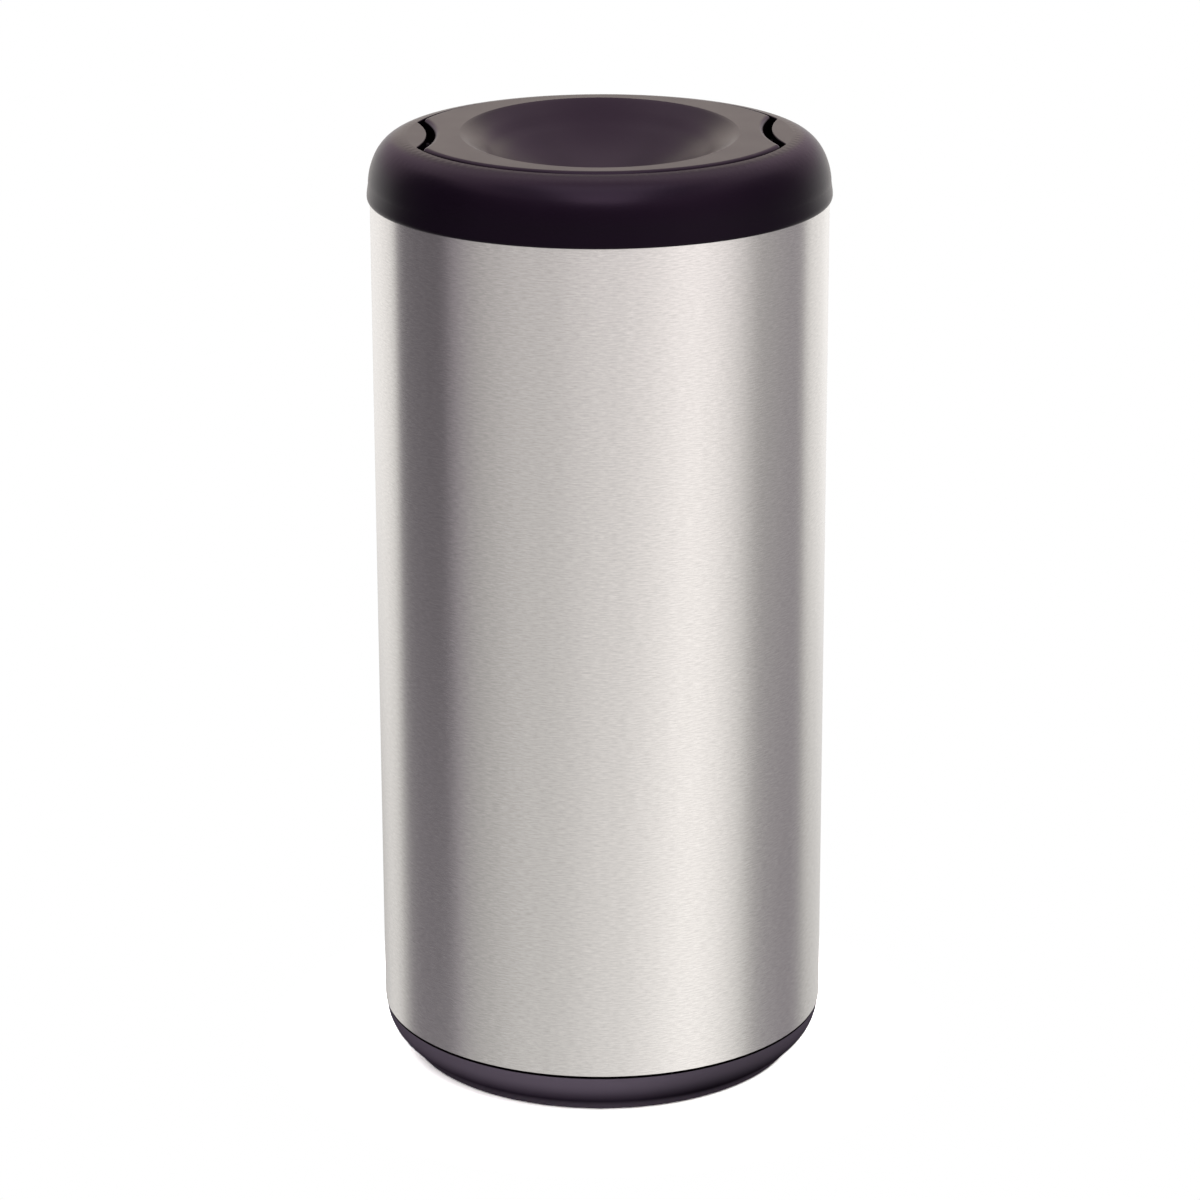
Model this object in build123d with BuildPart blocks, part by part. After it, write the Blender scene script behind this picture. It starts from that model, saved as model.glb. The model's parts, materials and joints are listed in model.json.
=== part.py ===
from build123d import *
import os
from math import acos, asin, atan, cos, degrees, pi, radians, sin, sqrt

# Swing-lid trash can. Millimetres, +Z up, origin on the floor at the centre of the base.
# -Y is the front and the lid swings about X.

# Steel body: a rolled tube with its upper edge curled inwards round a wire
BODY_RADIUS = 160.0
SHEET = 0.8
BODY_BOTTOM = 34.5
BODY_TOP = 636.0
RIM_WIRE_RADIUS = 1.4
RIM_WIRE_SLACK = 0.3
SEAM_GROOVE_WIDTH = 0.6
SEAM_GROOVE_DEPTH = 0.25

# Clearances between mating pieces
SLIP_GAP = 0.3
SEAT_GAP = 0.3
WELD_GAP = 0.1
THREAD_GAP = 0.05
BEARING_GAP = 0.06

# Bottom plate: a shallow steel pan pushed up inside the tube
PLATE_RISE = 11.5
PLATE_SHEET = 0.8
PLATE_SKIRT = 10.0
NUT_RADIUS = 3.6
NUT_HEIGHT = 5.5

# Base ring: the black moulding under the steel body
BASE_WALL = 2.6
BASE_GROOVE = 1.9
BASE_SHOULDER_INSET = 0.8
FOOT_INSET = 19.0
FOOT_HEIGHT = 6.2
FOOT_EDGE_ROUND = 1.2
FOOT_CREASE_ROUND = 4.0
FOOT_FLANGE = 13.0
FOOT_FLANGE_THICKNESS = 3.8
DECK_WIDTH = 20.0
BASE_RIBS = 8
BASE_RIB_THICKNESS = 2.0
BASE_SCREWS = 4
BASE_SCREW_SETBACK = 6.5
BASE_BOSS_RADIUS = 6.0
BASE_BOSS_DROP = 4.0

# Anti-slip pads pressed into the foot
PADS = 4
PAD_RADIUS = 4.0
PAD_SETBACK = 8.0
PAD_PROUD = 0.8
PAD_SUNK = 2.0
PAD_CLEARANCE = 0.1

# Screws, all of one pan-head kind
SCREW_RADIUS = 1.5
SCREW_HEAD_RADIUS = 3.2
SCREW_HEAD_HEIGHT = 2.2
SCREW_HOLE_CLEARANCE = 0.25
DRIVE_SLOT_WIDTH = 0.8
DRIVE_SLOT_LENGTH = 3.4
DRIVE_DEPTH = 1.1

# Bag ring, hung on the rim of the steel body
BAG_RING_WALL = 2.2
BAG_RING_DROP = 26.0
BAG_RING_FLANGE = 2.2
BAG_RING_SLACK = 0.4
BAG_RING_FLANGE_INSET = 1.4
BAG_RING_EDGE_ROUND = 1.0

# Top collar: the black ring that carries the lid
COLLAR_WALL = 2.4
LIP_LAP = 4.2
LIP_PROUD = 1.1
BEAD_PROUD = 2.05
BEAD_CREST = 2.6
BEAD_SOFTNESS = 3.2
SHOULDER_PROUD = 0.95
SHOULDER_RISE = 12.2
SHOULDER_ROUND = 3.0
SHOULDER_FLATNESS = 24.5
SHOULDER_END_SLOPE = 3.0
SEAM_RISE = 40.0
RING_WIDTH = 26.7
EAR_LENGTH = 13.3
EAR_CURVE_RADIUS = 140.0
OPENING_CORNER = 3.0
OPENING_LAND = 0.7
OPENING_EDGE_ROUND = 0.5
THROAT_WALL = 2.2
THROAT_DEPTH = 24.0
SPIGOT_DROP = 36.0
SPIGOT_WALL = 2.2
EAR_PLATE_LAP = 3.0

# Lid: dished skin with its closing cover below
LID_GAP = 1.5
NOTCH_GAP = 6.0
NOTCH_CURVE_RADIUS = 152.0
LID_CORNER = 6.0
LID_PROUD = 1.2
LID_EDGE_ROUND = 3.6
LID_WALL = 2.2
SKIRT_DROP = 10.0
DISH_DEPTH = 42.0
DISH_SIDE_MARGIN = 34.8
DISH_END_MARGIN = 14.3
DISH_SIDE_SOFTNESS = 1.4
DISH_LIP_SOFTNESS = 1.1
DISH_STEPS = (0.0, 0.006, 0.03, 0.09, 0.2, 0.36, 0.54, 0.72, 0.87, 0.96, 0.995)
COVER_CLEARANCE = 1.5
COVER_SIDE_MARGIN = 27.8
COVER_END_MARGIN = 13.8
COVER_FLOOR_SHARE = 0.52
COVER_EDGE_ROUND = 9.0
LID_SCREW_INSET = 8.2
LID_SCREW_ANGLES = (36.0, 64.0)
LID_BOSS_RADIUS = 4.0
LID_PILOT_ROOF = 4.0
COVER_RECESS = 0.6

# Counterweight under the dish
WEIGHT_RADIUS = 45.0
WEIGHT_THICKNESS = 3.2
WEIGHT_CHAMFER = 0.8
WEIGHT_DROP = 3.0
WEIGHT_SCREW_SPAN = 50.0
WEIGHT_BOSS_RADIUS = 4.5
WEIGHT_BOSS_LAP = 1.0
WEIGHT_PILOT_ROOF = 0.4

# Swing axis with its pins, bushes and brackets
PIVOT_DROP = 12.0
PIN_RADIUS = 4.0
PIN_GRIP = 16.0
PIN_HEAD_RADIUS = 6.5
PIN_HEAD = 2.0
BUSH_WALL = 1.94
BUSH_FLANGE_RADIUS = 8.5
BUSH_FLANGE = 1.6
BUSH_FIT = 0.05
PIN_SEAT_GAP = 0.01
PIN_CHAMFER = 0.6
PIVOT_BOSS_RADIUS = 7.0
PIVOT_NOSE_RADIUS = 6.0
PIVOT_WEB = 2.4
THRUST_GAP = 0.6
BUSH_NOSE = 2.0
BRACKET_DEPTH = 9.6
BRACKET_HALF_WIDTH = 9.5
WING_HALF_WIDTH = 19.6
WING_THICKNESS = 6.0
BRACKET_SCREW_OFFSET = 14.4
BRACKET_BOSS_RADIUS = 4.2
BRACKET_BOSS_DROP = 4.0
BRACKET_HEADROOM = 0.4
BRACKET_PILOT_ROOF = 1.0

# End stops of the swing
SWING_LIMIT = 70.0
STOP_SPARE_ANGLE = 0.9
STOP_RADIUS = 42.0
STOP_HEIGHT = 10.0
STOP_ARM_WIDTH = 10.0
STOP_ARM_THICKNESS = 4.0
BUMPER_REACH = 5.6
BUMPER_STEM_RADIUS = 2.0
BUMPER_BUTTON_RADIUS = 3.0
BUMPER_BUTTON = 1.4

# Sizes that follow: the base
body_inner = BODY_RADIUS - SHEET
plate_z = BODY_BOTTOM + PLATE_RISE
pan_outer = body_inner - WELD_GAP
pan_inner = pan_outer - PLATE_SHEET
base_spigot = pan_inner - SLIP_GAP
base_shoulder_radius = BODY_RADIUS - BASE_SHOULDER_INSET
base_shoulder_z = BODY_BOTTOM - BASE_GROOVE
foot_radius = BODY_RADIUS - FOOT_INSET
foot_inner = foot_radius - FOOT_FLANGE
pad_circle = foot_radius - PAD_SETBACK
deck_inner = base_spigot - DECK_WIDTH
deck_bottom = plate_z - BASE_WALL
base_screw_circle = foot_inner - BASE_SCREW_SETBACK
base_screw_seat = deck_bottom - BASE_BOSS_DROP
nut_cup_top = plate_z + NUT_HEIGHT - PLATE_SHEET

# Rim, bag ring and collar
curl_outer = RIM_WIRE_RADIUS + RIM_WIRE_SLACK + SHEET
curl_centre_radius = BODY_RADIUS - curl_outer
curl_centre_z = BODY_TOP - curl_outer
bag_ring_outer = curl_centre_radius - curl_outer - BAG_RING_SLACK
bag_ring_inner = bag_ring_outer - BAG_RING_WALL
bag_ring_flange = BODY_RADIUS - BAG_RING_FLANGE_INSET
bag_ring_seat = BODY_TOP + SEAT_GAP
bag_ring_top = bag_ring_seat + BAG_RING_FLANGE
bag_ring_bottom = BODY_TOP - BAG_RING_DROP
spigot_outer = bag_ring_inner - SLIP_GAP
spigot_inner = spigot_outer - SPIGOT_WALL
spigot_bottom = BODY_TOP - SPIGOT_DROP
web_bottom = bag_ring_top + SEAT_GAP
web_top = web_bottom + COLLAR_WALL
lip_bottom = BODY_TOP - LIP_LAP
lip_inner = BODY_RADIUS + SLIP_GAP
lip_radius = BODY_RADIUS + LIP_PROUD
bead_radius = BODY_RADIUS + BEAD_PROUD
shoulder_radius = BODY_RADIUS + SHOULDER_PROUD
bead_crest_z = lip_bottom + BEAD_CREST
shoulder_start_z = lip_bottom + SHOULDER_RISE
seam_z = BODY_TOP + SEAM_RISE
opening_radius = BODY_RADIUS - RING_WIDTH
land_radius = opening_radius + OPENING_LAND
throat_bottom = seam_z - THROAT_DEPTH
ear_tip = opening_radius - EAR_LENGTH
ear_underside = seam_z - COLLAR_WALL
ear_plate_end = ear_tip - EAR_PLATE_LAP
ear_plate_middle = seam_z - COLLAR_WALL / 2

# Lid
lid_radius = opening_radius - LID_GAP
notch_tip = ear_tip - NOTCH_GAP
lid_top_z = seam_z + LID_PROUD
lid_underside = lid_top_z - LID_WALL
pivot_z = seam_z - PIVOT_DROP
skirt_bottom = pivot_z - SKIRT_DROP
dish_half_width = lid_radius - DISH_SIDE_MARGIN
dish_half_length = lid_radius - DISH_END_MARGIN
dish_floor_z = lid_top_z - DISH_DEPTH
weight_top = dish_floor_z - LID_WALL - WEIGHT_DROP
weight_bottom = weight_top - WEIGHT_THICKNESS
weight_boss_top = dish_floor_z + WEIGHT_BOSS_LAP
weight_pilot_top = dish_floor_z - WEIGHT_PILOT_ROOF
cover_inset = LID_WALL + SLIP_GAP
cover_flange_bottom = skirt_bottom + COVER_RECESS
cover_flange_top = cover_flange_bottom + LID_WALL
cover_half_width = lid_radius - COVER_SIDE_MARGIN
cover_half_length = lid_radius - COVER_END_MARGIN
cover_bottom = weight_bottom - SCREW_HEAD_HEIGHT - COVER_CLEARANCE - LID_WALL
lid_screw_circle = lid_radius - LID_SCREW_INSET
lid_pilot_top = lid_underside - LID_PILOT_ROOF

# Pivots and stops
bush_bore = PIN_RADIUS + BEARING_GAP
bush_outer = bush_bore + BUSH_WALL
bush_start = ear_tip - BUSH_NOSE
throat_bulge = BUSH_FLANGE_RADIUS ** 2 / (2 * (EAR_CURVE_RADIUS - THROAT_WALL))
bush_flange_start = ear_tip + THROAT_WALL + throat_bulge + SLIP_GAP
bracket_start = bush_flange_start + BUSH_FLANGE
bracket_end = bracket_start + BRACKET_DEPTH
bracket_screw_x = (bracket_start + bracket_end) / 2
bracket_boss_bottom = pivot_z - BRACKET_BOSS_DROP
bracket_pilot_top = ear_underside - BRACKET_PILOT_ROOF
wing_bottom = bracket_boss_bottom - WING_THICKNESS
pin_start = notch_tip - PIN_GRIP
thrust_face = bush_start - THRUST_GAP
stop_top = pivot_z - STOP_RADIUS
stop_bottom = stop_top - STOP_HEIGHT
stop_middle = (stop_top + stop_bottom) / 2
screw_hole = SCREW_RADIUS + SCREW_HOLE_CLEARANCE
pilot = SCREW_RADIUS + THREAD_GAP

# The lid's skirt meets the bumper at the inner end of its stop face, just past the swing limit
skirt_angle = degrees(asin(SKIRT_DROP / STOP_RADIUS))
bumper_angle = 90 - SWING_LIMIT - STOP_SPARE_ANGLE - skirt_angle
bumper_half_width = STOP_RADIUS * sin(radians(bumper_angle))

os.makedirs("parts", exist_ok=True)


def write(builder, name):
    """Label one finished piece and write its STEP file."""
    builder.part.label = name
    export_step(builder.part, f"parts/{name}.step")


def corner(section, x, y):
    """Corner of a sketch that lies nearest to a point of its own plane."""
    return section.vertices().sort_by_distance((x, y, 0))[0]


def base_skirt(inset):
    """Upper end, middle and lower end of the base ring's round skirt, moved inwards."""
    drop = base_shoulder_z - FOOT_HEIGHT
    bend = 2 * atan((base_shoulder_radius - foot_radius) / drop)
    centre = base_shoulder_radius - drop / sin(bend)
    radius = base_shoulder_radius - centre - inset
    end = acos((foot_radius - inset - centre) / radius)
    return [(centre + radius * cos(a), base_shoulder_z - radius * sin(a)) for a in (0, end / 2, end)]


def shoulder(inset, drop):
    """Curve of the collar's shoulder, from the wall to the land round the opening, moved in and down."""
    slope = radians(SHOULDER_END_SLOPE)
    wall = shoulder_radius - inset
    end_z = seam_z - drop
    return Bezier(
        (wall, shoulder_start_z),
        (wall, shoulder_start_z + SHOULDER_ROUND),
        (land_radius + SHOULDER_FLATNESS * cos(slope), end_z - SHOULDER_FLATNESS * sin(slope)),
        (land_radius, end_z),
    )


def notched_circle(radius, notch_at, notch_radius):
    """Disc with a round bite at each end of the swing axis."""
    centre = notch_at + notch_radius
    Circle(radius)
    with Locations((centre, 0), (-centre, 0)):
        Circle(notch_radius, mode=Mode.SUBTRACT)


def round_corners(section, radius):
    """Round the four corners where the bites meet the disc, not the seam points on the axis."""
    fillet(section.vertices().filter_by(lambda v: abs(v.Y) > radius), radius=radius)


def ring_places(radius, count):
    """Plan positions evenly round a circle, none of them on an axis."""
    step = 2 * pi / count
    return [(radius * cos(step * (k + 0.5)), radius * sin(step * (k + 0.5))) for k in range(count)]


def dish_sections(wall):
    """Ellipses of the dish at rising depths; a wall above 0 gives the underside."""
    sections = []
    for share in DISH_STEPS:
        half_width = dish_half_width * sqrt(1 - share ** (1 / DISH_SIDE_SOFTNESS)) + wall
        half_length = dish_half_length * sqrt(1 - share ** (1 / DISH_LIP_SOFTNESS)) + wall
        with BuildSketch(Plane.XY.offset(lid_top_z - wall - share * DISH_DEPTH)) as section:
            Ellipse(half_width, half_length)
        sections.append(section.sketch)
    return sections


def cover_sections(inset, top, bottom):
    """Mouth and floor ellipses of the cover's bowl, moved inwards by an inset."""
    sections = []
    for z, share in ((top, 1), (bottom, COVER_FLOOR_SHARE)):
        with BuildSketch(Plane.XY.offset(z)) as section:
            Ellipse(cover_half_width * share - inset, cover_half_length * share - inset)
        sections.append(section.sketch)
    return sections


def lid_screw_places():
    """Plan positions of the screws that hold the lid's cover, the same in each quarter."""
    return [
        (sx * lid_screw_circle * cos(radians(a)), sy * lid_screw_circle * sin(radians(a)))
        for a in LID_SCREW_ANGLES
        for sx in (1, -1)
        for sy in (1, -1)
    ]


def pan_screws(places, seat_z, tip_z):
    """Screws that go up from below: head under the seat, shank to the tip, crossed slots."""
    with Locations(*[(x, y, seat_z - SCREW_HEAD_HEIGHT) for x, y in places]):
        Cylinder(SCREW_HEAD_RADIUS, SCREW_HEAD_HEIGHT, align=(Align.CENTER, Align.CENTER, Align.MIN))
        Cylinder(SCREW_RADIUS, tip_z - seat_z + SCREW_HEAD_HEIGHT,
                 align=(Align.CENTER, Align.CENTER, Align.MIN))
        for length, width in (
            (DRIVE_SLOT_LENGTH, DRIVE_SLOT_WIDTH),
            (DRIVE_SLOT_WIDTH, DRIVE_SLOT_LENGTH),
        ):
            Box(length, width, DRIVE_DEPTH, align=(Align.CENTER, Align.CENTER, Align.MIN),
                mode=Mode.SUBTRACT)


def side_plane(x, side):
    """Plane square to the swing axis at a distance from the middle, facing outwards."""
    return Plane(origin=(side * x, 0, pivot_z), x_dir=(0, side, 0), z_dir=(side, 0, 0))


# Steel body
with BuildPart() as steel_body:
    with BuildSketch(Plane.XZ):
        with Locations((curl_centre_radius, curl_centre_z)):
            Circle(curl_outer)
            Circle(curl_outer - SHEET, mode=Mode.SUBTRACT)
            Rectangle(curl_outer, curl_outer, align=(Align.MIN, Align.MAX), mode=Mode.SUBTRACT)
        with Locations((body_inner, BODY_BOTTOM)):
            Rectangle(SHEET, curl_centre_z - BODY_BOTTOM, align=(Align.MIN, Align.MIN))
    revolve(axis=Axis.Z)
    with Locations((0, BODY_RADIUS, BODY_BOTTOM)):
        Box(SEAM_GROOVE_WIDTH, 2 * SEAM_GROOVE_DEPTH, curl_centre_z - BODY_BOTTOM,
            align=(Align.CENTER, Align.CENTER, Align.MIN), mode=Mode.SUBTRACT)
write(steel_body, "steel_body")

# Wire inside the curled rim
with BuildPart() as rim_wire:
    with BuildSketch(Plane.XZ):
        with Locations((curl_centre_radius, curl_centre_z)):
            Circle(RIM_WIRE_RADIUS)
    revolve(axis=Axis.Z)
write(rim_wire, "rim_wire")

# Bottom plate with its pressed-in nut cups
base_screw_places = ring_places(base_screw_circle, BASE_SCREWS)
with BuildPart() as bottom_plate:
    with BuildSketch(Plane.XY.offset(plate_z)):
        Circle(pan_outer)
    extrude(amount=PLATE_SHEET)
    with BuildSketch(Plane.XY.offset(plate_z - PLATE_SKIRT)):
        Circle(pan_outer)
        Circle(pan_inner, mode=Mode.SUBTRACT)
    extrude(amount=PLATE_SKIRT)
    with BuildSketch(Plane.XY.offset(plate_z)):
        with Locations(*base_screw_places):
            Circle(NUT_RADIUS)
    extrude(amount=NUT_HEIGHT)
    with BuildSketch(Plane.XY.offset(plate_z)):
        with Locations(*base_screw_places):
            Circle(pilot)
    extrude(amount=nut_cup_top - plate_z, mode=Mode.SUBTRACT)
write(bottom_plate, "bottom_plate")

# Base ring, with ribs between its deck and skirt, screw lugs and sockets for the pads
pad_places = ring_places(pad_circle, PADS)
with BuildPart() as base_rib:
    with BuildSketch(Plane.XZ):
        with BuildLine():
            skirt = ThreePointArc(*base_skirt(BASE_WALL / 2))
            Polyline(
                skirt @ 0,
                (base_spigot - BASE_WALL / 2, base_shoulder_z),
                (base_spigot - BASE_WALL / 2, plate_z - BASE_WALL / 2),
                (deck_inner, plate_z - BASE_WALL / 2),
                skirt @ 1,
            )
        make_face()
    extrude(amount=BASE_RIB_THICKNESS / 2, both=True)
with BuildPart() as base_ring:
    with BuildSketch(Plane.XZ) as base_section:
        with BuildLine():
            outer_skirt = ThreePointArc(*base_skirt(0))
            inner_skirt = ThreePointArc(*base_skirt(BASE_WALL))
            Polyline(
                outer_skirt @ 0,
                (base_spigot, base_shoulder_z),
                (base_spigot, plate_z),
                (deck_inner, plate_z),
                (deck_inner, deck_bottom),
                (base_spigot - BASE_WALL, deck_bottom),
                (base_spigot - BASE_WALL, base_shoulder_z),
                inner_skirt @ 0,
            )
            Polyline(
                inner_skirt @ 1,
                (foot_radius - BASE_WALL, PAD_PROUD + FOOT_FLANGE_THICKNESS),
                (foot_inner, PAD_PROUD + FOOT_FLANGE_THICKNESS),
                (foot_inner, PAD_PROUD),
                (foot_radius, PAD_PROUD),
                outer_skirt @ 1,
            )
        make_face()
        fillet(corner(base_section, foot_radius, PAD_PROUD), radius=FOOT_EDGE_ROUND)
        fillet(corner(base_section, foot_radius, FOOT_HEIGHT), radius=FOOT_CREASE_ROUND)
    revolve(axis=Axis.Z)
    with PolarLocations(0, BASE_RIBS, start_angle=180 / BASE_RIBS):
        add(base_rib.part)
    with BuildSketch(Plane.XY.offset(base_screw_seat)):
        with Locations(*base_screw_places):
            Circle(BASE_BOSS_RADIUS)
    extrude(amount=plate_z - base_screw_seat)
    with BuildSketch(Plane.XY.offset(deck_bottom)):
        with PolarLocations(base_screw_circle, BASE_SCREWS, start_angle=180 / BASE_SCREWS):
            Rectangle(deck_inner + BASE_WALL - base_screw_circle, 2 * BASE_BOSS_RADIUS,
                      align=(Align.MIN, Align.CENTER))
    extrude(amount=BASE_WALL)
    with BuildSketch(Plane.XY.offset(base_screw_seat)):
        with Locations(*base_screw_places):
            Circle(screw_hole)
    extrude(amount=plate_z - base_screw_seat, mode=Mode.SUBTRACT)
    with BuildSketch(Plane.XY.offset(PAD_PROUD)):
        with Locations(*pad_places):
            Circle(PAD_RADIUS + PAD_CLEARANCE)
    extrude(amount=PAD_SUNK, mode=Mode.SUBTRACT)
write(base_ring, "base_ring")

with BuildPart() as base_screws:
    pan_screws(base_screw_places, base_screw_seat, nut_cup_top - SEAT_GAP)
write(base_screws, "base_screws")

with BuildPart() as anti_slip_pads:
    with BuildSketch():
        with Locations(*pad_places):
            Circle(PAD_RADIUS)
    extrude(amount=PAD_PROUD + PAD_SUNK)
    chamfer(anti_slip_pads.edges().group_by(Axis.Z)[0], length=PAD_PROUD / 2)
write(anti_slip_pads, "anti_slip_pads")

# Bag ring
with BuildPart() as bag_ring:
    with BuildSketch(Plane.XZ) as bag_ring_section:
        with BuildLine():
            Polyline(
                (bag_ring_inner, bag_ring_top),
                (bag_ring_flange, bag_ring_top),
                (bag_ring_flange, bag_ring_seat),
                (bag_ring_outer, bag_ring_seat),
                (bag_ring_outer, bag_ring_bottom),
                (bag_ring_inner, bag_ring_bottom),
                close=True,
            )
        make_face()
        fillet(corner(bag_ring_section, bag_ring_outer, bag_ring_bottom),
               radius=BAG_RING_EDGE_ROUND)
        fillet(corner(bag_ring_section, bag_ring_inner, bag_ring_top), radius=BAG_RING_EDGE_ROUND)
    revolve(axis=Axis.Z)
write(bag_ring, "bag_ring")

# Plans of the collar's opening with its two ears, of the throat wall round it, and of the lid
with BuildSketch() as opening_plan:
    notched_circle(opening_radius, ear_tip, EAR_CURVE_RADIUS)
    round_corners(opening_plan, OPENING_CORNER)
with BuildSketch() as throat_plan:
    notched_circle(opening_radius + THROAT_WALL, ear_tip + THROAT_WALL, EAR_CURVE_RADIUS - THROAT_WALL)
    round_corners(throat_plan, OPENING_CORNER + THROAT_WALL)
with BuildSketch() as lid_plan:
    notched_circle(lid_radius, notch_tip, NOTCH_CURVE_RADIUS)
    round_corners(lid_plan, LID_CORNER)

# Top collar
with BuildPart() as top_collar:
    with BuildSketch(Plane.XZ):
        with BuildLine():
            Line((lip_inner, lip_bottom), (lip_radius, lip_bottom))
            Bezier(
                (lip_radius, lip_bottom),
                (bead_radius, lip_bottom + BEAD_CREST / 3),
                (bead_radius, bead_crest_z),
            )
            Bezier(
                (bead_radius, bead_crest_z),
                (bead_radius, bead_crest_z + BEAD_SOFTNESS),
                (shoulder_radius, shoulder_start_z - BEAD_SOFTNESS),
                (shoulder_radius, shoulder_start_z),
            )
            shoulder(0, 0)
            Polyline(
                (land_radius, seam_z),
                (ear_plate_end, seam_z),
                (ear_plate_end, ear_underside),
                (land_radius, ear_underside),
            )
            shoulder(COLLAR_WALL, seam_z - ear_underside)
            Polyline(
                (shoulder_radius - COLLAR_WALL, shoulder_start_z),
                (shoulder_radius - COLLAR_WALL, web_top),
                (spigot_inner, web_top),
                (spigot_inner, spigot_bottom),
                (spigot_outer, spigot_bottom),
                (spigot_outer, web_bottom),
                (lip_inner, web_bottom),
                (lip_inner, lip_bottom),
            )
        make_face()
    revolve(axis=Axis.Z)
    with BuildSketch(Plane.XY.offset(throat_bottom)):
        add(throat_plan.sketch)
    extrude(amount=ear_plate_middle - throat_bottom)
    with BuildSketch(Plane.XY.offset(throat_bottom)):
        add(opening_plan.sketch)
    extrude(amount=seam_z - throat_bottom, mode=Mode.SUBTRACT)
    opening_edges = top_collar.edges().group_by(Axis.Z)[-1].filter_by(
        lambda edge: Vector(edge.center().X, edge.center().Y).length < land_radius
        and edge.length < pi * land_radius
    )
    fillet(opening_edges, radius=OPENING_EDGE_ROUND)
    bracket_boss_places = [
        (sx * bracket_screw_x, sy * BRACKET_SCREW_OFFSET) for sx in (1, -1) for sy in (1, -1)
    ]
    with BuildSketch(Plane.XY.offset(bracket_boss_bottom)):
        with Locations(*bracket_boss_places):
            Circle(BRACKET_BOSS_RADIUS)
    extrude(amount=ear_plate_middle - bracket_boss_bottom)
    with BuildSketch(Plane.XY.offset(bracket_boss_bottom)):
        with Locations(*bracket_boss_places):
            Circle(pilot)
    extrude(amount=bracket_pilot_top - bracket_boss_bottom, mode=Mode.SUBTRACT)
    for side in (1, -1):
        with BuildSketch(side_plane(ear_plate_end, side)):
            Circle(bush_outer + SLIP_GAP)
        extrude(amount=bush_flange_start - ear_plate_end, mode=Mode.SUBTRACT)
write(top_collar, "top_collar")

# Lid skin with its dish, pivot bosses and screw bosses
weight_screw_places = [(0, WEIGHT_SCREW_SPAN / 2), (0, -WEIGHT_SCREW_SPAN / 2)]
with BuildPart() as dish_body:
    loft(dish_sections(LID_WALL))
with BuildPart() as dish_hollow:
    loft(dish_sections(0))
with BuildPart() as lid_hollow:
    with BuildSketch(Plane.XY.offset(skirt_bottom)):
        add(lid_plan.sketch)
        offset(amount=-LID_WALL)
    extrude(amount=lid_underside - skirt_bottom)
    fillet(lid_hollow.edges().group_by(Axis.Z)[-1], radius=LID_EDGE_ROUND - LID_WALL)
with BuildPart() as lid_top:
    with BuildSketch(Plane.XY.offset(skirt_bottom)):
        add(lid_plan.sketch)
    extrude(amount=lid_top_z - skirt_bottom)
    fillet(lid_top.edges().group_by(Axis.Z)[-1], radius=LID_EDGE_ROUND)
    add(lid_hollow.part, mode=Mode.SUBTRACT)
    add(dish_body.part)
    with BuildSketch(Plane.XY.offset(cover_flange_top)):
        with Locations(*lid_screw_places()):
            Circle(LID_BOSS_RADIUS)
    extrude(amount=lid_underside + LID_WALL / 2 - cover_flange_top)
    with BuildSketch(Plane.XY.offset(weight_top)):
        with Locations(*weight_screw_places):
            Circle(WEIGHT_BOSS_RADIUS)
    extrude(amount=weight_boss_top - weight_top)
    for side in (1, -1):
        with BuildSketch(side_plane(pin_start - PIVOT_WEB, side)):
            Circle(PIVOT_BOSS_RADIUS)
            Rectangle(PIVOT_WEB, lid_underside + LID_WALL / 2 - pivot_z, align=(Align.CENTER, Align.MIN))
        extrude(amount=PIN_GRIP + PIVOT_WEB - LID_WALL / 2)
        with BuildSketch(side_plane(pin_start, side)):
            Circle(PIVOT_NOSE_RADIUS)
        extrude(amount=thrust_face - pin_start)
    add(dish_hollow.part, mode=Mode.SUBTRACT)
    with BuildSketch(Plane.XY.offset(cover_flange_top)):
        with Locations(*lid_screw_places()):
            Circle(pilot)
    extrude(amount=lid_pilot_top - cover_flange_top, mode=Mode.SUBTRACT)
    with BuildSketch(Plane.XY.offset(weight_top)):
        with Locations(*weight_screw_places):
            Circle(pilot)
    extrude(amount=weight_pilot_top - weight_top, mode=Mode.SUBTRACT)
    for side in (1, -1):
        with BuildSketch(side_plane(pin_start, side)):
            Circle(PIN_RADIUS + PIN_SEAT_GAP)
        extrude(amount=thrust_face - pin_start, mode=Mode.SUBTRACT)
write(lid_top, "lid_top")

# Cover that closes the lid's underside: a flange inside the skirt and a shallow bowl
with BuildPart() as cover_hollow:
    loft(cover_sections(LID_WALL, cover_flange_top, cover_bottom + LID_WALL), ruled=True)
    fillet(cover_hollow.edges().group_by(Axis.Z)[0], radius=COVER_EDGE_ROUND - LID_WALL)
with BuildPart() as lid_cover:
    loft(cover_sections(0, cover_flange_bottom, cover_bottom), ruled=True)
    fillet(lid_cover.edges().group_by(Axis.Z)[0], radius=COVER_EDGE_ROUND)
    with BuildSketch(Plane.XY.offset(cover_flange_bottom)):
        add(lid_plan.sketch)
        offset(amount=-cover_inset)
    extrude(amount=LID_WALL)
    add(cover_hollow.part, mode=Mode.SUBTRACT)
    with BuildSketch(Plane.XY.offset(cover_flange_bottom)):
        with Locations(*lid_screw_places()):
            Circle(screw_hole)
    extrude(amount=LID_WALL, mode=Mode.SUBTRACT)
write(lid_cover, "lid_cover")

with BuildPart() as lid_screws:
    pan_screws(lid_screw_places(), cover_flange_bottom, lid_pilot_top - SEAT_GAP)
write(lid_screws, "lid_screws")

# Counterweight
with BuildPart() as counterweight:
    with BuildSketch(Plane.XY.offset(weight_bottom)):
        Circle(WEIGHT_RADIUS)
        with Locations(*weight_screw_places):
            Circle(screw_hole, mode=Mode.SUBTRACT)
    extrude(amount=WEIGHT_THICKNESS)
    chamfer(counterweight.edges().group_by(Axis.Z)[0].sort_by(SortBy.LENGTH)[-1], length=WEIGHT_CHAMFER)
write(counterweight, "counterweight")

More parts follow.
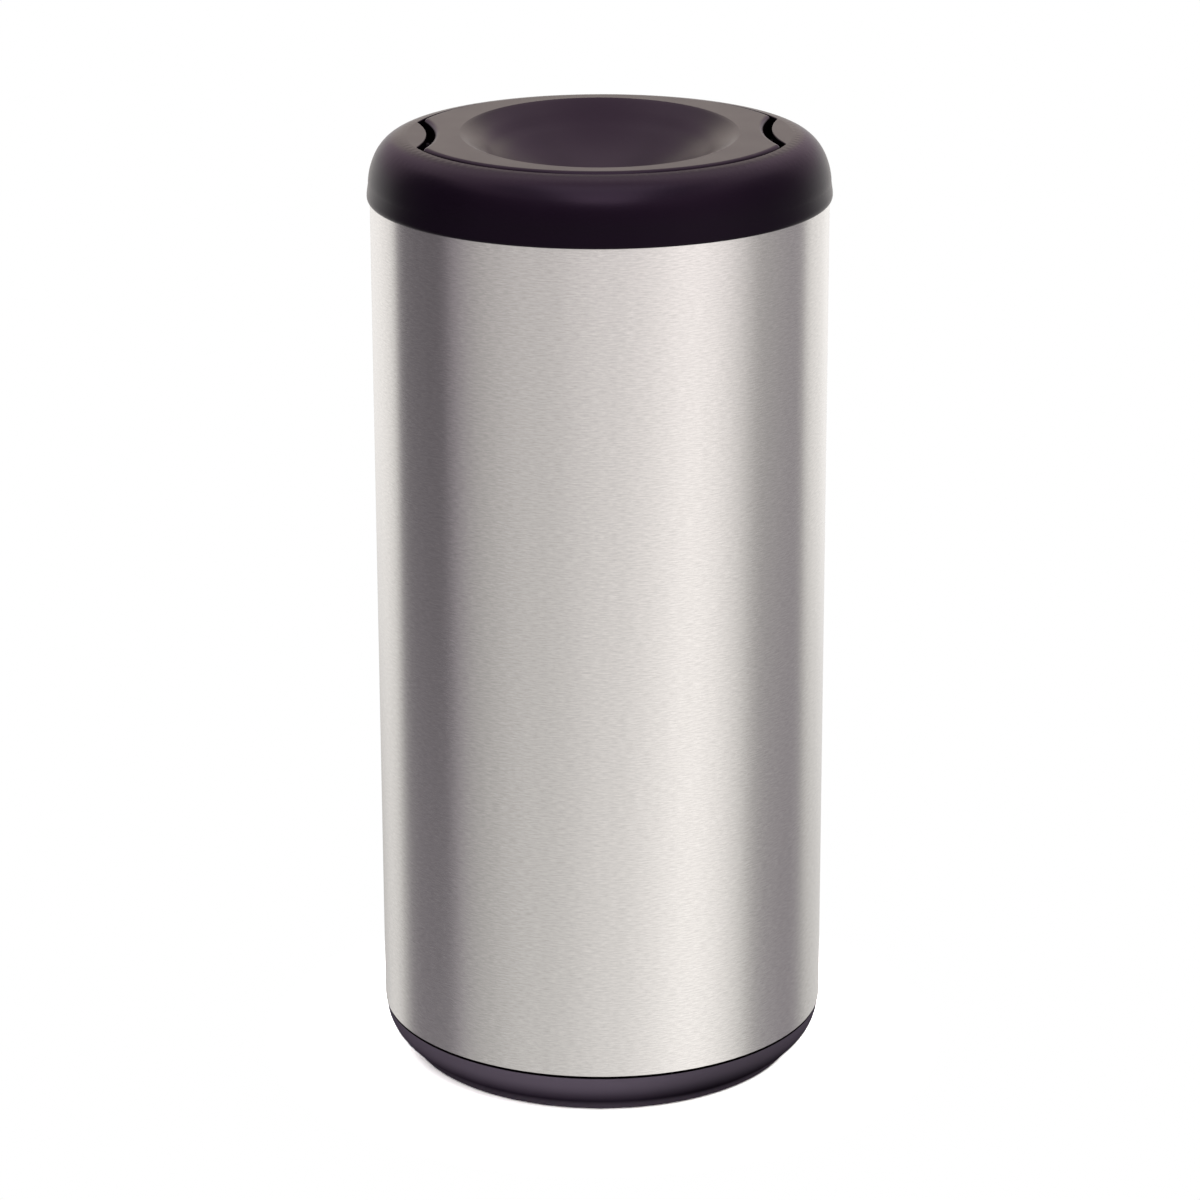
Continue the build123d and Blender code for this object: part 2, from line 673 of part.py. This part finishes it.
with BuildPart() as weight_screws:
    pan_screws(weight_screw_places, weight_bottom, weight_pilot_top - SEAT_GAP)
write(weight_screws, "weight_screws")

# Pivots, one set at each end of the swing axis
for side, name in ((1, "right"), (-1, "left")):
    with BuildPart() as pivot_pin:
        with BuildSketch(side_plane(pin_start, side)):
            Circle(PIN_RADIUS)
        extrude(amount=bracket_end + SEAT_GAP - pin_start)
        chamfer(pivot_pin.edges().filter_by(GeomType.CIRCLE), length=PIN_CHAMFER)
        with BuildSketch(side_plane(bracket_end + SEAT_GAP, side)):
            Circle(PIN_HEAD_RADIUS)
        extrude(amount=PIN_HEAD)
    write(pivot_pin, f"pivot_pin_{name}")

    with BuildPart() as pivot_bush:
        with BuildSketch(side_plane(bush_start, side)):
            Circle(bush_outer)
        extrude(amount=bracket_end - bush_start)
        with BuildSketch(side_plane(bush_flange_start, side)):
            Circle(BUSH_FLANGE_RADIUS)
        extrude(amount=BUSH_FLANGE)
        with BuildSketch(side_plane(bush_start, side)):
            Circle(bush_bore)
        extrude(amount=bracket_end - bush_start, mode=Mode.SUBTRACT)
    write(pivot_bush, f"pivot_bush_{name}")

    with BuildPart() as pivot_bracket:
        with BuildSketch(side_plane(bracket_start, side)):
            with Locations((0, wing_bottom - pivot_z)):
                Rectangle(2 * BRACKET_HALF_WIDTH, ear_underside - BRACKET_HEADROOM - wing_bottom,
                          align=(Align.CENTER, Align.MIN))
                Rectangle(2 * WING_HALF_WIDTH, WING_THICKNESS, align=(Align.CENTER, Align.MIN))
        extrude(amount=BRACKET_DEPTH)
        with BuildSketch(side_plane(bracket_start, side)):
            with Locations((0, wing_bottom - pivot_z)):
                Rectangle(STOP_ARM_WIDTH, wing_bottom - stop_bottom, align=(Align.CENTER, Align.MAX))
        extrude(amount=STOP_ARM_THICKNESS)
        with BuildSketch(side_plane(bracket_start, side)):
            Circle(bush_outer + BUSH_FIT)
        extrude(amount=BRACKET_DEPTH, mode=Mode.SUBTRACT)
        with BuildSketch(side_plane(bracket_start, side)):
            with Locations((0, stop_middle - pivot_z)):
                Circle(BUMPER_STEM_RADIUS + PAD_CLEARANCE)
        extrude(amount=STOP_ARM_THICKNESS, mode=Mode.SUBTRACT)
        with BuildSketch(Plane.XY.offset(wing_bottom)):
            with Locations((side * bracket_screw_x, BRACKET_SCREW_OFFSET),
                           (side * bracket_screw_x, -BRACKET_SCREW_OFFSET)):
                Circle(screw_hole)
        extrude(amount=WING_THICKNESS, mode=Mode.SUBTRACT)
    write(pivot_bracket, f"pivot_bracket_{name}")

with BuildPart() as bracket_screws:
    pan_screws(bracket_boss_places, wing_bottom, bracket_pilot_top - SEAT_GAP)
write(bracket_screws, "bracket_screws")

# Rubber bumpers on the stop arms
with BuildPart() as stop_bumpers:
    for side in (1, -1):
        with BuildSketch(side_plane(bracket_start - BUMPER_REACH, side)):
            with Locations((0, stop_top - pivot_z)):
                Rectangle(2 * bumper_half_width, STOP_HEIGHT, align=(Align.CENTER, Align.MAX))
        extrude(amount=BUMPER_REACH)
        with BuildSketch(side_plane(bracket_start, side)):
            with Locations((0, stop_middle - pivot_z)):
                Circle(BUMPER_STEM_RADIUS)
        extrude(amount=STOP_ARM_THICKNESS)
        with BuildSketch(side_plane(bracket_start + STOP_ARM_THICKNESS, side)):
            with Locations((0, stop_middle - pivot_z)):
                Circle(BUMPER_BUTTON_RADIUS)
        extrude(amount=BUMPER_BUTTON)
write(stop_bumpers, "stop_bumpers")
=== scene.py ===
import json
from math import cos, pi, radians, sin

import bpy
import bmesh
from mathutils import Matrix

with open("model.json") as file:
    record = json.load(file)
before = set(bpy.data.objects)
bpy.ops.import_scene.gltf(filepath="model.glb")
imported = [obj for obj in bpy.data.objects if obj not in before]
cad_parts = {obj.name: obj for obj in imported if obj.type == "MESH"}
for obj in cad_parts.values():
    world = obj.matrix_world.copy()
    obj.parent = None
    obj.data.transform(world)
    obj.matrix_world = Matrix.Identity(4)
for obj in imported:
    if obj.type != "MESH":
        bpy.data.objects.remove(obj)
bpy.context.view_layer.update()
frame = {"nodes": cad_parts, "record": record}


class Signal:
    """Output socket of a shader node that can be used in Python arithmetic."""

    def __init__(self, finish, socket):
        self.finish, self.socket = finish, socket

    def maths(self, operation, *values):
        return self.finish.node("Math", {"operation": operation}, dict(enumerate(values)))

    def __add__(self, other):
        return self.maths("ADD", self, other)

    def __sub__(self, other):
        return self.maths("SUBTRACT", self, other)

    def __rsub__(self, other):
        return self.maths("SUBTRACT", other, self)

    def __mul__(self, other):
        return self.maths("MULTIPLY", self, other)

    def __truediv__(self, other):
        return self.maths("DIVIDE", self, other)

    def __pow__(self, other):
        return self.maths("POWER", self, other)

    def __abs__(self):
        return self.maths("ABSOLUTE", self)

    __radd__ = __add__
    __rmul__ = __mul__

    def larger(self, other):
        return self.maths("MAXIMUM", self, other)

    def fade(self, low, high):
        """Smooth step that goes from 0 at low to 1 at high."""
        return self.finish.node("MapRange", {"interpolation_type": "SMOOTHSTEP"},
                                {"Value": self, "From Min": low, "From Max": high})


class Finish:
    """A material while its nodes are laid out. Constants go on the main shader's own sockets."""

    def __init__(self, name, kind="BsdfPrincipled", tree=None, **constants):
        if tree is None:
            self.material = bpy.data.materials.new(name)
            self.material.use_nodes = True
            tree = self.material.node_tree
        self.tree = tree
        self.tree.nodes.clear()
        self.shader = self.tree.nodes.new("ShaderNode" + kind)
        for socket, value in constants.items():
            label = socket.replace("_", " ").title().replace("Ior", "IOR")
            self.feed(self.shader.inputs[label], value)

    def feed(self, socket, value):
        """Link a signal to a socket, or set the socket to a number, colour or vector."""
        if isinstance(value, Signal):
            self.tree.links.new(value.socket, socket)
        elif socket.type == "RGBA" and len(value) == 3:
            socket.default_value = (*value, 1.0)
        else:
            socket.default_value = value

    def set(self, name, value):
        self.feed(self.shader.inputs[name], value)

    def node(self, kind, settings=(), inputs=(), output=0):
        """Add any node: its settings first, then the values or links of its sockets."""
        made = self.tree.nodes.new("ShaderNode" + kind)
        for name, value in dict(settings).items():
            setattr(made, name, value)
        for name, value in dict(inputs).items():
            self.feed(made.inputs[name], value)
        return Signal(self, made.outputs[output])

    def ramp(self, stops, low, high, value):
        """Level read from (place, level) stops that lie between low and high."""
        made = self.tree.nodes.new("ShaderNodeValToRGB")
        elements = made.color_ramp.elements
        while len(elements) < len(stops):
            elements.new(0.5)
        for element, (place, level) in zip(elements, stops):
            element.position = (place - low) / (high - low)
            element.color = (level, level, level, 1.0)
        self.feed(made.inputs[0], (value + -low) * (1.0 / (high - low)))
        return Signal(self, made.outputs[0])

    def place(self):
        """Position on the piece, in metres of the shared frame, as three signals."""
        spot = self.node("TexCoord", output="Object")
        return [self.node("SeparateXYZ", (), {0: spot}, axis) for axis in range(3)]

    def vector(self, x, y, z):
        return self.node("CombineXYZ", (), {0: x, 1: y, 2: z})

    def noise(self, where, scale=1.0, detail=2.0, roughness=0.5):
        return self.node("TexNoise", (), {"Vector": where, "Scale": scale, "Detail": detail,
                                          "Roughness": roughness})

    def mix(self, share, low, high):
        """Colour between two others."""
        return self.node("Mix", {"data_type": "RGBA"}, {0: share, 6: low, 7: high}, 2)

    def times(self, colour, other):
        return self.node("VectorMath", {"operation": "MULTIPLY"}, {0: colour, 1: other})

    def blend(self, share, low, high):
        """Shader between two others."""
        return self.node("MixShader", (), {0: share, 1: low, 2: high})

    def matt(self, colour):
        return self.node("BsdfDiffuse", (), {"Color": colour})

    def main(self):
        return Signal(self, self.shader.outputs[0])

    def bump(self, height, depth):
        """Bend the shading by a height map whose full range is a depth in metres."""
        self.set("Normal", self.node("Bump", (), {"Height": height, "Strength": 1.0,
                                                  "Distance": depth}))

    def ray(self, kind):
        return self.node("LightPath", output="Is " + kind + " Ray")

    def seen(self):
        """1 for rays that carry what the camera, metal or glass sees, 0 for light on things."""
        total = self.ray("Camera") + self.ray("Glossy") + self.ray("Transmission")
        return total.maths("MINIMUM", total, 1.0)

    def done(self, shader=None, world=False):
        """Link the shader to the output and hand the material over."""
        output = self.tree.nodes.new("ShaderNodeOutput" + ("World" if world else "Material"))
        self.feed(output.inputs["Surface"], shader or self.main())
        return None if world else self.material


def turn_from_front(x, y):
    """Angle round the bin in radians: 0 at the front, positive to the viewer's right."""
    return x.maths("ARCTAN2", x, -1.0 * y)


# Brushed steel: strokes round the tube, with finer hairs between them
TUBE_RADIUS = 0.16
STROKE = (0.006, 0.0009)  # length and width
HAIR = (0.010, 0.0004)
STROKE_SHARE = 0.65
BRUSH_DEPTH = 0.00001
STEEL_DARK = (0.568, 0.553, 0.539)
STEEL_PALE = (0.717, 0.702, 0.681)


def brushed_steel():
    steel = Finish("brushed_steel_shell", metallic=1.0, anisotropic=0.95, anisotropic_rotation=0.25)
    x, y, z = steel.place()
    arc = turn_from_front(x, y) * TUBE_RADIUS
    strokes = steel.noise(steel.vector(arc / STROKE[0], z / STROKE[1], 0.0),
                          detail=3.0, roughness=0.65)
    hairs = steel.noise(steel.vector(arc / HAIR[0], z / HAIR[1], 3.0), detail=2.0)
    grain = strokes * STROKE_SHARE + hairs * (1 - STROKE_SHARE)
    steel.set("Base Color", steel.mix(grain.fade(0.3, 0.7), STEEL_DARK, STEEL_PALE))
    steel.set("Roughness", 0.21 + 0.08 * grain)
    steel.bump(grain, BRUSH_DEPTH)
    return steel.done()


# Black plastic. Pairs of heights or radii are where a zone starts and where it is full
PLASTIC_COLOURS = ((0.0040, 0.0019, 0.0052), (0.0056, 0.0029, 0.0072))
TEXTURE_SCALE, TEXTURE_DEPTH = 1800.0, 0.00002
CLOUD_SCALE = 30.0
BASE_ZONE = (0.06, 0.05)
# Painted light and shade on the base ring: foot and skirt painted paler for light from the floor,
# crease painted darker for shade
FOOT_PAINTED_LIGHT = (0.090, 0.073, 0.098)
SKIRT_PAINTED_LIGHT = (0.110, 0.091, 0.121)
CREASE_PAINTED_SHADE = (0.030, 0.021, 0.035)
SKIRT_LIGHT_FROM = (0.003, 0.010)
CREASE_SHADE_FROM, CREASE_SHADE_TO = (0.002, 0.0085), (0.026, 0.0095)
# Painted shade, near black, in the groove over the base and down the gap round the lid
GROOVE_FROM, GROOVE_TO = (0.0321, 0.0323), (0.0352, 0.0348)
GAP_PAINTED_SHADE = (0.002, 0.001, 0.002)
GAP_FROM, GAP_TO = (0.600, 0.602), (0.6758, 0.6745)
GAP_OUTER = (0.1375, 0.1365)
LID_OUTER = (0.1270, 0.1280)
NOTCH_CENTRE = 0.266  # centre of the round bites at the lid's two ends, along the swing axis
NOTCH_EDGE = (0.1600, 0.1590)
LID_CORNER = (0.1222, 0.0494)
CORNER_EDGE = (0.0130, 0.0120)


def black_plastic():
    plastic = Finish("black_plastic", specular_ior_level=0.07, specular_tint=(1.0, 0.72, 1.0),
                     sheen_weight=0.08, sheen_roughness=0.25, sheen_tint=(1.0, 0.86, 0.74))
    x, y, z = plastic.place()
    grain = plastic.noise(plastic.vector(x, y, z), scale=TEXTURE_SCALE, detail=2.0)
    cloud = plastic.noise(plastic.vector(x, y, z), scale=CLOUD_SCALE, detail=2.0)
    plastic.set("Base Color", plastic.mix(cloud, *PLASTIC_COLOURS))
    plastic.set("Roughness", 0.27 + 0.06 * cloud)
    plastic.bump(grain, TEXTURE_DEPTH)
    # The base ring is duller than the collar, a matt diffuse whose colour is painted light: its
    # foot and skirt are painted far paler than the collar for light from the floor, with painted
    # shade darkest in the crease over its foot
    crease_shade = z.fade(*CREASE_SHADE_FROM) * z.fade(*CREASE_SHADE_TO)
    skirt_light = plastic.mix(z.fade(*SKIRT_LIGHT_FROM), FOOT_PAINTED_LIGHT, SKIRT_PAINTED_LIGHT)
    base = plastic.matt(plastic.mix(crease_shade, skirt_light, CREASE_PAINTED_SHADE))
    body = plastic.blend(z.fade(*BASE_ZONE), plastic.main(), base)
    # Painted shade: the groove over the base and the gap round the lid are painted near black, as
    # hardly any light gets into them
    groove_shade = z.fade(*GROOVE_FROM) * z.fade(*GROOVE_TO)
    reach = (x * x + y * y) ** 0.5
    notch = ((abs(x) - NOTCH_CENTRE) ** 2.0 + y * y) ** 0.5
    corner = ((abs(x) - LID_CORNER[0]) ** 2.0 + (abs(y) - LID_CORNER[1]) ** 2.0) ** 0.5
    beside_lid = reach.fade(*LID_OUTER).larger(notch.fade(*NOTCH_EDGE))
    beside_lid = beside_lid.larger(corner.fade(*CORNER_EDGE))
    gap_shade = z.fade(*GAP_TO) * z.fade(*GAP_FROM) * reach.fade(*GAP_OUTER) * beside_lid
    return plastic.done(plastic.blend(groove_shade.larger(gap_shade), body, plastic.matt(GAP_PAINTED_SHADE)))


def plain(name, colour, roughness, metallic=0.0, gloss=0.5):
    """Even finish whose colour and gloss drift by a tenth."""
    finish = Finish(name, metallic=metallic, specular_ior_level=gloss)
    x, y, z = finish.place()
    cloud = finish.noise(finish.vector(x, y, z), scale=60.0, detail=3.0)
    darker, paler = (tuple(share * part for part in colour) for share in (0.9, 1.1))
    finish.set("Base Color", finish.mix(cloud, darker, paler))
    finish.set("Roughness", roughness - 0.05 + 0.1 * cloud)
    return finish.done()


finishes = {
    "brushed_steel_shell": brushed_steel(),
    "black_plastic": black_plastic(),
    "grey_plastic": plain("grey_plastic", (0.12, 0.12, 0.125), 0.5),
    "black_nylon": plain("black_nylon", (0.004, 0.003, 0.004), 0.7, gloss=0.03),
    "black_rubber": plain("black_rubber", (0.02, 0.02, 0.02), 0.7),
    "plain_steel": plain("plain_steel", (0.55, 0.55, 0.55), 0.3, 1.0),
    "galvanised_steel": plain("galvanised_steel", (0.45, 0.46, 0.47), 0.45, 1.0),
}
slots = {row["node"]: row["material_slot"] for row in frame["record"]["subparts"]}
for name, piece in frame["nodes"].items():
    for place in piece.material_slots:
        place.material = finishes[slots[name]]

WHITE = (1.0, 1.0, 1.0)
PALE = (0.9, 0.9, 0.9)  # what the floors and the room give as light on other things


def flat_disc(name, radius, height, vertices):
    bpy.ops.mesh.primitive_circle_add(vertices=vertices, radius=radius, fill_type="NGON",
                                      location=(0, 0, height))
    disc = bpy.context.object
    disc.name = name
    disc.visible_glossy = False
    return disc


def light_object(name, mesh):
    """A lamp with the form of a mesh, which the camera doesn't see itself."""
    lamp = bpy.data.objects.new(name, mesh)
    bpy.context.scene.collection.objects.link(lamp)
    lamp.visible_camera = False
    return lamp


# Floor, fading into the white background, with the bin's soft shadow
FLOOR_AS_SEEN = (5.0, 5.0, 5.0)
FLOOR_FADE = (0.165, 0.25)
floor = flat_disc("floor", 0.26, -0.0002, 96)
paper = Finish("floor_paper", kind="BsdfDiffuse")
x, y, z = paper.place()
paper.set("Color", paper.mix(paper.seen(), PALE, FLOOR_AS_SEEN))
outwards = ((x * x + y * y) ** 0.5).fade(*FLOOR_FADE)
floor.data.materials.append(
    paper.done(paper.blend(outwards, paper.main(), paper.node("BsdfTransparent"))))
floor.visible_diffuse = False

# Wide floor that only sends soft light up to the base, less of it from the two sides
BOUNCE_DARK = (0.02, 0.02, 0.02)
bounce = flat_disc("bounce_floor", 1.5, -0.0004, 64)
card = Finish("bounce_floor", kind="BsdfDiffuse")
x, y, z = card.place()
turn = turn_from_front(x, y)
left = turn.fade(-0.1, -1.2) * 0.25
right = turn.fade(0.0, 0.5) * (1.0 - 0.5 * turn.fade(0.9, 1.4))
card.set("Color", card.mix(left + right, PALE, BOUNCE_DARK))
bounce.data.materials.append(card.done())
bounce.visible_camera = False

# Curved light panel all round, lower behind: its brightness changes with the direction.
# Pairs of degrees from the front and level
PANEL_LEVELS = [
    (-180, 0.92), (-155, 1.08), (-140, 1.17), (-127, 1.05), (-121.5, 0.85), (-117, 0.205),
    (-88, 0.165), (-83, 0.18), (-78, 0.31), (-70, 0.44), (-60, 0.57), (-49, 0.665),
    (-39, 0.73), (-30, 0.745), (-20, 0.775), (-2, 0.885), (8, 0.925), (17, 1.02),
    (27, 1.15), (36, 1.28), (46, 1.32), (57, 1.20), (69, 0.94), (80, 0.60), (84, 0.55),
    (95, 0.475), (110, 0.39), (115, 0.42), (119, 0.82), (126, 1.02), (150, 1.15), (180, 1.0)]
# Share of each level that is left towards the panel's lower edge
PANEL_FALL = [
    (-180, 0.45), (-160, 0.55), (-140, 0.80), (-127, 0.82), (-122, 0.58), (-117, 1.35),
    (-84, 1.5), (-78, 1.32), (-68, 1.18), (-60, 1.07), (-30, 1.06), (0, 1.12), (25, 1.12),
    (48, 1.06), (72, 1.01), (80, 0.84), (90, 0.76), (106, 0.82), (114, 0.88), (118, 0.55),
    (124, 0.62), (130, 0.67), (180, 0.7)]
PANEL_RADIUS = 1.6
PANEL_STEP = 5
PANEL_BOTTOM, PANEL_TOP, PANEL_TOP_BEHIND = -1.2, 2.0, 0.4
BEHIND = 165
COOL, WARM = (1.03, 0.95, 1.04), (1.015, 0.995, 0.975)
HIGH_TINT = (0.92, 0.69, 0.84)
mesh = bpy.data.meshes.new("light_panel")
form = bmesh.new()
columns = []
for degrees in range(-180, 181, PANEL_STEP):
    across, ahead = PANEL_RADIUS * sin(radians(degrees)), -PANEL_RADIUS * cos(radians(degrees))
    top = PANEL_TOP if abs(degrees) < BEHIND else PANEL_TOP_BEHIND
    columns.append([form.verts.new((across, ahead, height)) for height in (PANEL_BOTTOM, top)])
for one, two in zip(columns, columns[1:]):
    form.faces.new((one[0], two[0], two[1], one[1]))
form.to_mesh(mesh)
panel = light_object("light_panel", mesh)
glow = Finish("light_panel", kind="Emission")
x, y, z = glow.place()
turn = turn_from_front(x, y) * (180 / pi)
levels, fall = (glow.ramp(stops, -180, 180, turn) for stops in (PANEL_LEVELS, PANEL_FALL))
lower, upper = z.fade(0.15, -0.5), z.fade(1.3, 2.0)
levels = levels * (1.0 + (fall - 1.0) * lower) * (1.0 + 0.9 * upper)
tint = glow.mix(levels.fade(0.25, 0.6), COOL, WARM)
tint = glow.mix(glow.ray("Glossy") * z.fade(0.55, 1.15), tint, HIGH_TINT)
glow.set("Color", glow.times(levels, tint))
mesh.materials.append(glow.done())

# Softbox overhead and to the front, brightest in the middle of its width and at its front
BOX_HALF_WIDTH, BOX_FRONT, BOX_HEIGHT = 1.4, -2.35, 2.6
mesh = bpy.data.meshes.new("softbox")
mesh.from_pydata([(-BOX_HALF_WIDTH, BOX_FRONT, BOX_HEIGHT), (BOX_HALF_WIDTH, BOX_FRONT, BOX_HEIGHT),
                  (BOX_HALF_WIDTH, 0.0, BOX_HEIGHT), (-BOX_HALF_WIDTH, 0.0, BOX_HEIGHT)],
                 [], [(0, 1, 2, 3)])
softbox = light_object("softbox", mesh)
lamp = Finish("softbox", kind="Emission", color=(1.0, 0.94, 1.0))
x, y, z = lamp.place()
glossy = lamp.ray("Glossy")
middle, front = abs(x).fade(0.8, 0.5), y.fade(-0.8, -2.0)
lamp.set("Strength", middle * (3.0 + 2.6 * glossy) * (0.8 + 0.6 * front) + 0.5 + 1.3 * glossy)
mesh.materials.append(lamp.done())

# White all round. In a reflection it dims just over the back wall and is brightest at the top.
# Pairs of the direction's height, from -1 straight down to 1 straight up, and level
WALL_LEVELS = [(-1.0, 1.0), (0.20, 1.21), (0.33, 1.29), (0.385, 0.65), (0.50, 0.62),
               (0.62, 1.0), (0.80, 2.6), (1.0, 2.8)]
WALL_TINT, CEILING_TINT = (1.12, 0.985, 0.895), (1.17, 0.93, 1.06)
world = bpy.data.worlds.new("studio")
world.use_nodes = True
sky = Finish("studio", kind="Background", tree=world.node_tree)
upwards = sky.node("SeparateXYZ", (), {0: sky.node("TexCoord", output="Generated")}, 2)
tint = sky.mix(upwards.fade(0.0, 0.12), WHITE, WALL_TINT)
tint = sky.mix(upwards.fade(0.33, 0.5), tint, CEILING_TINT)
reflected = sky.times(sky.ramp(WALL_LEVELS, -1, 1, upwards), tint)
backdrop = sky.mix(sky.ray("Glossy"), WHITE, reflected)
sky.set("Color", sky.mix(sky.seen(), PALE, backdrop))
sky.done(world=True)
bpy.context.scene.world = world

# Camera at the photograph's viewing angle
TURN, PITCH, ROLL = -1.7864, 18.208, -0.18  # degrees
camera_data = bpy.data.cameras.new("camera")
camera_data.lens = 126.0
camera_data.sensor_width = 36.0
camera = bpy.data.objects.new("camera", camera_data)
bpy.context.scene.collection.objects.link(camera)
camera.location = (-0.0900, -2.8634, 1.2777)
aim = [Matrix.Rotation(radians(angle), 4, axis)
       for angle, axis in ((TURN, "Z"), (90 - PITCH, "X"), (ROLL, "Z"))]
camera.rotation_euler = (aim[0] @ aim[1] @ aim[2]).to_euler()
bpy.context.scene.camera = camera
bpy.context.scene.view_settings.view_transform = "Standard"
